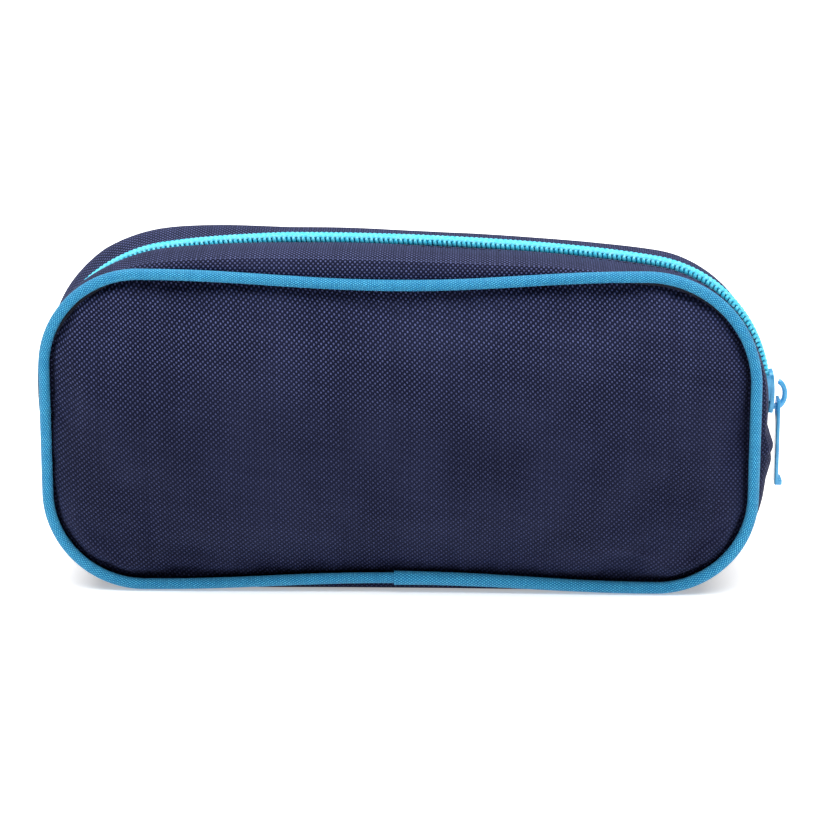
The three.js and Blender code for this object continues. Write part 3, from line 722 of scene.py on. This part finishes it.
PANEL_INSET = 1.3             # from the seam line to the panel's edge
PANEL_EDGE_Y = 24.2
PANEL_ROLL = 5.0              # height of the padded roll beside the piping
ROLL_START = 2.6              # distance from the seam line at which the roll starts
ROLL_REACH = 1.8
PANEL_CROWN = 7.2
CROWN_REACH = 49.0            # distance from the seam line at which the crown is full
CROWN_POWER = 2.4
CLOTH_FRAMES = 18
CLOTH_REACH = 2.2             # how far the filled cloth may move
SKEW = math.tan(math.radians(12))      # the canvas's rows of threads fall towards +X


def panel_outline(inset):
    """The panel's four sides as functions, each running between two corner middles."""
    cut = 0.3 * CORNER

    def corner_t(index):
        x = (1, -1, -1, 1)[index] * (SEAM_X - cut)
        z = (SEAM_TOP - cut, SEAM_TOP - cut, SEAM_BOTTOM + cut, SEAM_BOTTOM + cut)[index]
        gap = np.hypot(SEAM.points[:, 0] - x, SEAM.points[:, 1] - z)
        return SEAM.keys[gap.argmin()]
    corners = [corner_t(k) for k in range(4)]

    def run(a, b, shares):
        t = a + (b - a) * shares
        return SEAM.at(t) - SEAM.normal(t) * inset
    return corners, run


def crowded(count):
    """Numbers from 0 to 1, closer together towards both ends."""
    even = np.linspace(0, 1, count)
    return 0.4 * even + 0.3 * (1 - np.cos(math.pi * even))


def panel_sheet(side, inset, columns=120, rows=66):
    """A regular grid that fills the rounded outline, rolled at its edge and crowned."""
    (right_top, left_top, left_bottom, right_bottom), run = panel_outline(inset)
    a, b = crowded(columns)[:, None, None], crowded(rows)[None, :, None]
    top = run(left_top, right_top, a.ravel())
    bottom = run(left_bottom, right_bottom, a.ravel())
    left = run(left_bottom, left_top, b.ravel())
    right = run(right_bottom - 2, right_top, b.ravel())
    flat = ((1 - b) * bottom[:, None] + b * top[:, None]
            + (1 - a) * left[None] + a * right[None]
            - (1 - a) * (1 - b) * bottom[0] - a * (1 - b) * bottom[-1]
            - (1 - a) * b * top[0] - a * b * top[-1])
    inward = seam_distance(flat)
    roll = PANEL_ROLL * (1 - np.exp(-np.clip(inward - ROLL_START, 0, None) / ROLL_REACH))
    crown = PANEL_CROWN * (1 - (1 - np.clip(inward / CROWN_REACH, 0, 1)) ** CROWN_POWER)
    return np.stack([flat[..., 0], side * (PANEL_EDGE_Y + roll + crown), flat[..., 1]], -1)


def seam_distance(flat):
    """Distance of each point in the X-Z plane from the seam line."""
    line = SEAM.points[::4]
    gaps = np.linalg.norm(flat[:, :, None] - line, axis=-1)
    return gaps.min(-1)


def filled(points, side):
    """Lets the sheet fill out as pinned cloth under pressure, and returns its new points."""
    nu, nv = points.shape[:2]
    obj = finish_mesh("panel_cloth", points.reshape(-1, 3),
                      grid_faces(nu, nv, False, False, flip=side < 0)[0], None)
    edge = obj.vertex_groups.new(name="edge")
    index = np.arange(nu * nv).reshape(nu, nv)
    border = np.concatenate([index[0], index[-1], index[:, 0], index[:, -1]])
    edge.add([int(i) for i in border], 1.0, "REPLACE")
    cloth = obj.modifiers.new("cloth", "CLOTH")
    settings = cloth.settings
    settings.quality = 6
    settings.mass = 0.25
    settings.tension_stiffness = settings.compression_stiffness = 18
    settings.shear_stiffness = 8
    settings.bending_stiffness = 1.2
    settings.shrink_min = -0.012
    settings.vertex_group_mass = "edge"
    settings.use_pressure = True
    settings.uniform_pressure_force = 1.2
    settings.effector_weights.gravity = 0
    cloth.collision_settings.use_collision = False
    for step in range(1, CLOTH_FRAMES + 1):
        bpy.context.scene.frame_set(step)
    evaluated = obj.evaluated_get(bpy.context.evaluated_depsgraph_get())
    moved = np.array([v.co for v in evaluated.data.vertices]).reshape(nu, nv, 3) / MM
    bpy.context.scene.frame_set(1)
    bpy.data.objects.remove(obj)
    shift = moved - points
    size = np.linalg.norm(shift, axis=-1, keepdims=True)
    return points + shift * np.minimum(1, CLOTH_REACH / np.maximum(size, 1e-6))


def sheet_normals(points, side):
    """Unit normals of a grid, on the side that faces away from the case."""
    across = np.cross(np.gradient(points, axis=0), np.gradient(points, axis=1))
    length = np.linalg.norm(across, axis=-1, keepdims=True)
    across = across / np.maximum(length, 1e-9)
    return across * np.sign(across[..., 1:2] * side + 1e-9)


def slouched(points, side):
    """Adds the soft hollows and ridges of a case that isn't packed full."""
    x, z = points[..., 0], points[..., 2]
    inside = smoothstep(np.minimum(np.minimum(x + SEAM_X, SEAM_X - x),
                                   np.minimum(z - SEAM_BOTTOM, SEAM_TOP - z)), 1, 16)
    values = [0.9 * noise.noise(Vector((a * 0.022, b * 0.03, 4.2 + side)))
              + 0.35 * noise.noise(Vector((a * 0.06, b * 0.07, 9.1)))
              for a, b in zip(np.ravel(x), np.ravel(z))]
    points = points.copy()
    points[..., 1] += side * inside * np.reshape(values, x.shape)
    return points


def panel(word, side, cad_prefixes, place):
    """A panel's canvas, foam and lining, one above the other, cut from one filled sheet."""
    surface = slouched(filled(panel_sheet(side, PANEL_INSET), side), side)
    normals = sheet_normals(surface, side)
    uv = np.stack([surface[..., 0], surface[..., 2] + SKEW * surface[..., 0]], -1)
    foam_depth = FABRIC + LAYER_GAP
    lining_depth = foam_depth + FOAM_THICKNESS + LAYER_GAP
    layers = [
        ("fabric", 0.0, FABRIC, 0, CANVAS, "canvas"),
        ("foam", foam_depth, foam_depth + FOAM_THICKNESS, 6, FOAM, "foam"),
        ("lining", lining_depth, lining_depth + LINING, 7, LINING_CLOTH, "lining"),
    ]
    for suffix, near, far, trim, material, slot_name in layers:
        window = (slice(trim, -trim or None),) * 2
        skins = [surface[window] - normals[window] * depth for depth in (near, far)]
        piece = shell(f"{word}_panel_{suffix}_soft", skins[0], skins[1], uv[window])
        dress(piece, material)
        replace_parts(piece, *[f"{prefix}_{suffix}" for prefix in cad_prefixes])
        place(piece)


# ---- piping and bindings ----

PIPING_JOINT_X = -1.5
LAP_STEP = 0.5
LAP_FADE = 60.0
CORD_RADIUS = 0.9
BINDING_SECTION = ((0, 0), (0.5, 0.45), (3, 0.6), (5.5, 0.5), (6, 0),
                   (5.5, -0.5), (3, -0.6), (0.5, -0.45))
BINDING_INSET = 5.8           # from the seam line to the binding's outer edge
BINDING_Y = SEAM_Y - 4.8
BINDING_WIDTH = 13.0          # before it is folded
END_BINDING_HALF, END_BINDING_DROP = 18.0, 7.0


def joint_t():
    """Where along the seam line the two ends of the piping meet."""
    lower = SEAM.keys > 1
    gap = np.where(lower, np.abs(SEAM.points[:, 0] - PIPING_JOINT_X), 1e3)
    return SEAM.keys[gap.argmin()]


def piping(word, side, nodes, cords, place):
    """One strip of woven piping round a panel, its end lapped over its start at the bottom."""
    start = joint_t()
    t = np.linspace(start, start + 2, 560)
    along = np.linspace(0, SEAM.upper_length + SEAM.lower_length, len(t))
    swell = LAP_STEP * np.exp(-along / LAP_FADE)
    pinch = 0.06 * np.array([noise.noise(Vector((a * 0.05, side, 2.0))) for a in along])
    radius = PIPING_RADIUS - 0.1 + swell + pinch
    line = np.insert(SEAM.at(t), 1, side * SEAM_Y, axis=1)
    sleeve = tube(f"{word}_piping_soft", line, radius, 18, (0, side, 0))
    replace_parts(dress(sleeve, PIPING), *nodes)
    core = tube(f"{word}_piping_core", line, CORD_RADIUS, 8, (0, side, 0))
    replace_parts(dress(core, CORD), *cords)
    place(sleeve)
    place(core)


def binding(word, side, nodes, place):
    """Woven tape folded over the raw edges, all round the inside of the seam."""
    t = np.linspace(0, 2, 240, endpoint=False)
    section = np.array(BINDING_SECTION)
    seam, normal = SEAM.at(t), SEAM.normal(t)
    inward = seam[:, None] - normal[:, None] * (BINDING_INSET + section[None, :, :1])
    y = side * BINDING_Y + side * section[None, :, 1] + np.zeros((len(t), 1))
    points = np.stack([inward[..., 0], y, inward[..., 1]], -1)
    count = len(section)
    faces, places = grid_faces(len(t), count, True, True)
    along = np.append(SEAM.length_at(t), SEAM.upper_length + SEAM.lower_length)
    around = np.linspace(0, BINDING_WIDTH, count + 1)
    corner_uvs = [(along[i], around[j]) for corners in places for i, j in corners]
    piece = finish_mesh(f"{word}_binding_soft", points.reshape(-1, 3), faces, corner_uvs)
    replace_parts(dress(piece, BINDING), *nodes)
    place(piece)


def end_binding(word, t_end):
    """The bound allowance of a cross seam, across the inside of the gusset."""
    y = np.linspace(-END_BINDING_HALF, END_BINDING_HALF, 25)
    drop = np.linspace(0, END_BINDING_DROP, 9)
    direction = 1 if word == "left" else -1
    t = t_end + direction * drop / SEAM.lower_length
    swell = 0.25 * np.sin(np.linspace(0, math.pi, len(drop)))
    rows = len(y)
    skins = [zip_line(t[None].repeat(rows, 0), -depth - swell[None].repeat(rows, 0),
                      y[:, None].repeat(len(drop), 1)) for depth in (2.0, 3.2)]
    uv = np.stack(np.meshgrid(y, drop, indexing="ij"), -1)
    piece = shell(f"end_binding_{word}_soft", skins[0], skins[1], uv)
    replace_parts(dress(piece, BINDING), f"end_seam_binding_{word}")
    return fold(piece)


# ---- slider and puller ----

PLATE_INNER = ZIP_RADIUS + COIL_PROUD + 0.5
PLATE = 1.3
PLATE_OUTER = PLATE_INNER + PLATE
BACK_OUTER = ZIP_RADIUS - TAPE_DEPTH - TAPE_THICKNESS - 0.5
SLIDER_HALF = 6.6
PLATE_HALF_WIDTH = 4.3
POST_END, POST_HALF_WIDTH = -3.6, 0.6
LIP_START, LIP_OUTER_Y = -2.4, 4.2
LIP = 0.8
PLATE_BEVEL, BLOCK_BEVEL, PULLER_BEVEL = 0.3, 0.2, 0.4
HOOK_X, HOOK_Z = 117.0, 57.0  # middle of the hook's D
HOOK_REACH, HOOK_RISE = 2.65, 4.05     # the D's half sizes, to the bar's middle line
HOOK_FOOT = ((115.4, 52.95), (116.2, 52.95))
HOOK_HALF_WIDTH, HOOK_HALF_THICKNESS = 1.5, 0.8


def on_round(along, y, radius):
    """Slider coordinates to the frame: along the zip's round, across it and out from it."""
    angle = along / PLATE_OUTER
    return np.stack([ZIP_X + radius * np.cos(angle), y, ZIP_Z + radius * np.sin(angle)], -1)


def plate(name, low, high):
    """A curved plate, a little narrower at the closed end, with full round corners."""
    s = np.sin(np.linspace(-math.pi / 2, math.pi / 2, 33))
    half = (PLATE_HALF_WIDTH - 0.25 * s) * (1 - np.abs(s) ** 7) ** (1 / 7)
    along = np.repeat((SLIDER_HALF * s)[:, None], 9, 1)
    y = half[:, None] * np.linspace(-1, 1, 9)[None]
    uv = np.stack([along, y], -1)
    skins = [on_round(along, y, np.full(y.shape, radius)) for radius in (high, low)]
    piece = shell(name, skins[0], skins[1], uv)
    edit = bmesh.new()
    edit.from_mesh(piece.data)
    bmesh.ops.remove_doubles(edit, verts=edit.verts, dist=0.01 * MM)
    edit.to_mesh(piece.data)
    edit.free()
    return bevelled(piece, PLATE_BEVEL, 3)


def block(name, along, across, radii):
    """A block curved to the zip's round."""
    s = np.linspace(along[0], along[1], 9)
    y = np.linspace(across[0], across[1], 3)
    grid = np.meshgrid(s, y, indexing="ij")
    skins = [on_round(grid[0], grid[1], np.full(grid[0].shape, radius)) for radius in radii[::-1]]
    return bevelled(shell(name, skins[0], skins[1], np.stack(grid, -1)), BLOCK_BEVEL)


def rounded(wave, half):
    """A sine or cosine made squarer, so that a circle becomes a bar's round-cornered section."""
    return half * np.sign(wave) * np.abs(wave) ** 0.6


def hook():
    """The open hook: a flat bar bent to a D, its lower end on the plate and its top free."""
    bend = np.radians(np.linspace(-90, 78, 30))
    curve = np.column_stack([HOOK_X + HOOK_REACH * np.cos(bend),
                             HOOK_Z + HOOK_RISE * np.sin(bend)])
    line = np.insert(np.vstack([HOOK_FOOT, curve]), 1, 0.0, axis=1)
    sides = 16
    angle = np.linspace(0, 2 * math.pi, sides, endpoint=False)
    first, second = frames_along(line, (0, 1, 0))
    across = rounded(np.cos(angle), HOOK_HALF_WIDTH)
    through = rounded(np.sin(angle), HOOK_HALF_THICKNESS)
    taper = np.ones(len(line))
    taper[-1] = 0.8
    section = (line[:, None] + (first[:, None] * across[None, :, None]
                                + second[:, None] * through[None, :, None]) * taper[:, None, None])
    faces, _ = grid_faces(len(line), sides, False, True)
    faces += [[end * sides + j for j in range(sides)] for end in (0, len(line) - 1)]
    return finish_mesh("slider_hook", section.reshape(-1, 3), faces, None)


def slider():
    parts = [
        plate("slider_plate", PLATE_INNER, PLATE_OUTER),
        plate("slider_back_plate", BACK_OUTER - PLATE, BACK_OUTER),
        block("slider_post", (-SLIDER_HALF + 0.3, POST_END), (-POST_HALF_WIDTH, POST_HALF_WIDTH),
              (BACK_OUTER - 0.1, PLATE_INNER + 0.1)),
        hook(),
    ]
    for side in (-1, 1):
        across = sorted((side * LIP_OUTER_Y, side * (LIP_OUTER_Y - LIP)))
        parts.append(block("slider_lip", (LIP_START, SLIDER_HALF - 0.7), across,
                           (ZIP_RADIUS - 0.4, PLATE_INNER + 0.2)))
    piece = joined("slider_detail", parts)
    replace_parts(dress(piece, PAINT), "slider_body")
    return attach(piece, "slider")


def puller():
    """The flat puller with its eye and end lip, its edges rounded."""
    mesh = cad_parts["puller"].data.copy()
    edit = bmesh.new()
    edit.from_mesh(mesh)
    bmesh.ops.remove_doubles(edit, verts=edit.verts, dist=0.001 * MM)
    bmesh.ops.dissolve_limit(edit, angle_limit=math.radians(2), verts=edit.verts,
                             edges=edit.edges)
    edit.to_mesh(mesh)
    edit.free()
    piece = bpy.data.objects.new("puller_detail", mesh)
    bpy.context.scene.collection.objects.link(piece)
    bevelled(piece, PULLER_BEVEL, 3)
    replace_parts(dress(piece, PAINT), "puller")
    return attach(piece, "puller")


# ---- assembly ----

def on_case(piece):
    """Back pieces take the slump of the back's top before they ride on the case."""
    mesh = piece.data
    points = np.empty(len(mesh.vertices) * 3, np.float32)
    mesh.vertices.foreach_get("co", points)
    x, y, z = points.reshape(-1, 3).T / MM
    depth = SLUMP_LEFT + (SLUMP_RIGHT - SLUMP_LEFT) * smoothstep(x, *SLUMP_X)
    points[2::3] -= depth * smoothstep(y, *SLUMP_Y) * smoothstep(z, *SLUMP_Z) * MM
    mesh.vertices.foreach_set("co", points)
    mesh.update()
    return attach(piece, "case")


def front_names(parts, suffixes):
    return [f"front_{part}_{suffix}" for part in parts for suffix in suffixes]


panel("front", -1, ["front_panel_lower", "front_panel_upper"], fold)
panel("back", 1, ["back_panel"], on_case)

bottom_band(0.0, FABRIC, CANVAS, "fabric")
bottom_band(FABRIC + LAYER_GAP, LINING, LINING_CLOTH, "lining")
for word, side, place in (("front", -1, fold), ("back", 1, on_case)):
    edge_y = strip_edge(strip_t())
    place(strip(word, side, 0.0, FABRIC, edge_y, CANVAS, "fabric"))
    place(strip(word, side, STRIP_LINING_DEPTH, LINING, np.maximum(edge_y, STRIP_LINING_EDGE),
                LINING_CLOTH, "lining"))
    place(tape(word, side))
    for piece in coil(word, side):
        place(piece)
    row = stitches(f"zip_stitching_{word}", (0.0, 1.0), STRIP_EDGE + 2.0, 0.12, side)
    place(dress(row, THREAD))

runs = ["piping_lower_left", "piping_lower_right", "piping_upper"]
piping("front", -1, front_names(runs, ["sleeve"]), front_names(runs, ["cord"]), fold)
piping("back", 1, ["back_piping_sleeve"], ["back_piping_cord"], on_case)
binding("front", -1, ["front_seam_binding_lower", "front_seam_binding_upper"], fold)
binding("back", 1, ["back_seam_binding"], on_case)
end_binding("right", 2 - CROSS_T)
end_binding("left", 1 + CROSS_T)
slider()
puller()


# ---- floor, light and camera ----

def area_light(name, place, aim, size, power):
    data = bpy.data.lights.new(name, "AREA")
    data.shape = "RECTANGLE"
    data.size, data.size_y = size
    data.energy = power
    lamp = bpy.data.objects.new(name, data)
    lamp.location = place
    lamp.rotation_euler = (Vector(aim) - Vector(place)).to_track_quat("-Z", "Y").to_euler()
    bpy.context.scene.collection.objects.link(lamp)


def floor():
    mesh = bpy.data.meshes.new("floor")
    half = 3.0
    mesh.from_pydata([(-half, -half, 0), (half, -half, 0), (half, half, 0), (-half, half, 0)],
                     [], [(0, 1, 2, 3)])
    obj = bpy.data.objects.new("floor", mesh)
    bpy.context.scene.collection.objects.link(obj)
    n = Nodes("floor_paper")
    tone = n.mix(n.noise(n.place("Object"), 3.0), colour("F6F6F6"), colour("FAFAFA"))
    n.link(tone, "Base Color")
    n.link(tone, "Emission Color")
    n.set(Roughness=0.9, Emission_Strength=0.42)
    mesh.materials.append(n.material)


def camera():
    data = bpy.data.cameras.new("camera")
    data.sensor_width = 36
    data.lens = 132.5
    data.shift_x, data.shift_y = 0.0069, 0.0063
    data.clip_end = 20
    azimuth, elevation, distance = math.radians(1.52), math.radians(15), 0.9418
    aim = Vector((0, 0, 0.05))
    back = Vector((math.sin(azimuth) * math.cos(elevation),
                   -math.cos(azimuth) * math.cos(elevation), math.sin(elevation)))
    obj = bpy.data.objects.new("camera", data)
    obj.location = aim + back * distance
    obj.rotation_euler = (-back).to_track_quat("-Z", "Y").to_euler()
    bpy.context.scene.collection.objects.link(obj)
    bpy.context.scene.camera = obj


floor()
world = bpy.data.worlds.new("studio")
world.use_nodes = True
world.node_tree.nodes["Background"].inputs[0].default_value = (1, 1, 1, 1)
world.node_tree.nodes["Background"].inputs[1].default_value = 0.22
bpy.context.scene.world = world
bpy.context.scene.view_settings.view_transform = "Standard"
area_light("top_softbox", (0, 0.2, 1.9), (0, 0.2, 0), (3.4, 3.4), 125)
camera()
